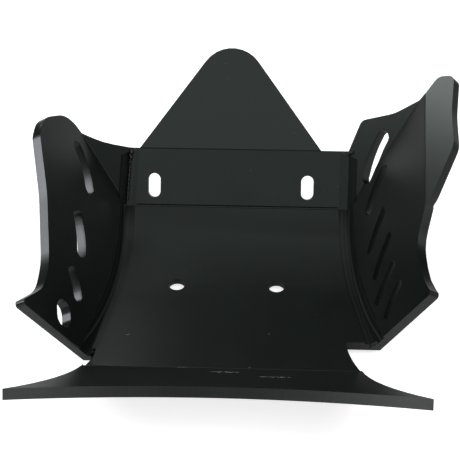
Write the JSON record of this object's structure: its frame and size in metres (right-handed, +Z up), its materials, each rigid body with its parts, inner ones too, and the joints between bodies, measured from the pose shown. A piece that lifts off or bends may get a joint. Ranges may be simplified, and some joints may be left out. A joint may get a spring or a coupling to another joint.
{
  "type": "motorcycle skid plate",
  "caption": "Thick plastic plate cut flat and folded into a trough, with a flared tail, a pointed front tongue and two vented side wings of different outline.",
  "frame": {"origin": "midway between the two belly holes, on the plate's inner face", "axes": "+X to the rider's right, +Y forwards, +Z up; the belly is level at the origin"},
  "size_m": [0.3403, 0.3467, 0.1438],
  "materials": {
    "plate": "matte black, with a fine sheen and milled edges"
  },
  "bodies": {
    "root": {"skid_plate": "plate"}
  },
  "joints": []
}
